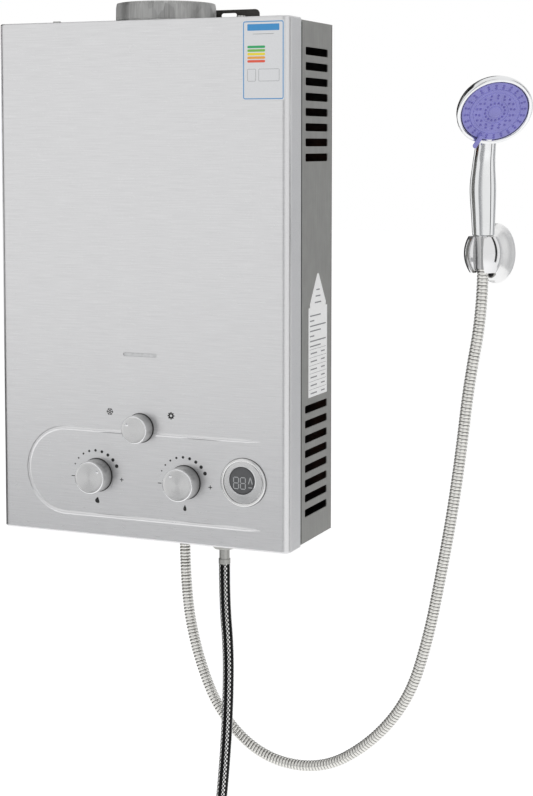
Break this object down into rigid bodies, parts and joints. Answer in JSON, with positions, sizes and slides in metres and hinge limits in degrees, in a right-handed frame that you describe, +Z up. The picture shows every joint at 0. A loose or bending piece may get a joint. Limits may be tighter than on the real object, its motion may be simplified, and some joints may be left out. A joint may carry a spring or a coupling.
{
  "type": "tankless gas water heater",
  "caption": "Wall-hung tankless gas water heater with a brushed steel cover, control knobs, round display, flue collar, water hoses and a hand shower in its wall holder.",
  "frame": {"origin": "on the wall plane, midway between the two hanging slots above the case", "axes": "+Z up, -Y out of the wall towards the user, +X to the right as seen from the front"},
  "size_m": [0.5578, 0.1386, 0.9615],
  "materials": {
    "stainless": "brushed",
    "case_sheet": "satin",
    "galvanised": "galvanised",
    "copper": "satin",
    "burner_steel": "satin",
    "cast_alloy": "cast",
    "coil": "matt",
    "brass": "machined",
    "knob_metal": "spun",
    "screw_steel": "zinc plated",
    "bezel": "metallised",
    "display_glass": "clear dark",
    "window_glass": "clear",
    "black_plastic": "moulded",
    "cell_jacket": "printed sleeve",
    "ceramic": "glazed",
    "lead_rubber": "smooth",
    "seal_rubber": "smooth",
    "chrome": "polished",
    "hose_steel": "ribbed",
    "braid": "braided",
    "spray_face": "moulded"
  },
  "bodies": {
    "heater": {"front_cover": "stainless", "rear_case": "case_sheet", "top_plate": "case_sheet", "bottom_plate": "case_sheet", "flue_collar": "galvanised", "flue_hood": "galvanised", "exchanger_shell": "copper", "exchanger_fins": "copper", "exchanger_tube": "copper", "cold_pipe": "copper", "hot_pipe": "copper", "burner_frame": "burner_steel", "burner_bars": "burner_steel", "gas_manifold": "cast_alloy", "gas_valve_body": "cast_alloy", "water_valve_body": "cast_alloy", "diaphragm_cover": "cast_alloy", "season_valve": "cast_alloy", "solenoid_valve": "coil", "microswitch": "coil", "pipe_nipples": "brass", "case_screws": "screw_steel", "battery_lid_pin": "screw_steel", "holder_screws": "screw_steel", "holder_set_screw": "screw_steel", "display_bezel": "bezel", "display_lens": "display_glass", "flame_window": "window_glass", "display_module": "black_plastic", "igniter_box": "black_plastic", "battery_box": "black_plastic", "overheat_thermostat": "black_plastic", "holder_plate": "black_plastic", "batteries": "cell_jacket", "ignition_electrode": "ceramic", "flame_probe": "ceramic", "ignition_lead": "lead_rubber", "battery_lead": "lead_rubber", "diaphragm": "seal_rubber", "hose_washers": "seal_rubber", "shower_hose_nut": "chrome", "inlet_hose_nut": "chrome", "inlet_hose_ferrules": "chrome", "inlet_hose_free_nut": "chrome", "holder_body": "chrome", "shower_hose": "hose_steel", "inlet_hose": "braid"},
    "gas_control": {"gas_knob": "knob_metal", "gas_spindle": "brass"},
    "water_control": {"water_knob": "knob_metal", "water_spindle": "brass"},
    "season_control": {"season_knob": "knob_metal", "season_spindle": "brass"},
    "hose_end": {"shower_cone_nut": "chrome"},
    "handset": {"handset_body": "chrome", "handset_rim": "chrome"},
    "spray_selector": {"spray_plate": "spray_face"},
    "battery_door": {"battery_lid": "black_plastic"},
    "valve_rod": {"push_rod": "brass"}
  },
  "joints": [
    {"name": "gas_knob_turn", "type": "hinge", "parent": "heater", "child": "gas_control", "pos_m": [-0.0505, -0.12, -0.479], "axis": [0, -1, 0], "range_deg": [-35, 145]},
    {"name": "water_knob_turn", "type": "hinge", "parent": "heater", "child": "water_control", "pos_m": [0.0505, -0.12, -0.479], "axis": [0, -1, 0], "range_deg": [-130, 50]},
    {"name": "season_knob_turn", "type": "hinge", "parent": "heater", "child": "season_control", "pos_m": [0, -0.12, -0.4264], "axis": [0, -1, 0], "range_deg": [-116, 0]},
    {"name": "handset_lift", "type": "slide", "parent": "heater", "child": "hose_end", "axis": [0, 0, 1], "range_m": [0, 0.04], "deforming": ["shower_hose"]},
    {"name": "handset_swivel", "type": "hinge", "parent": "hose_end", "child": "handset", "pos_m": [0.3413, -0.05, -0.225], "axis": [0, 0, 1], "range_deg": [-122.7, 57.3]},
    {"name": "spray_selector_turn", "type": "hinge", "parent": "handset", "child": "spray_selector", "pos_m": [0.35967, -0.07861, -0.1054], "axis": [0.4479, -0.6976, -0.5592], "range_deg": [-24, 66]},
    {"name": "battery_lid_swing", "type": "hinge", "parent": "heater", "child": "battery_door", "pos_m": [-0.1224, -0.0154, -0.5437], "axis": [1, 0, 0], "range_deg": [0, 100]},
    {"name": "push_rod_slide", "type": "slide", "parent": "heater", "child": "valve_rod", "axis": [-1, 0, 0], "range_m": [0, 0.004], "stiffness_N_per_m": 300}
  ]
}
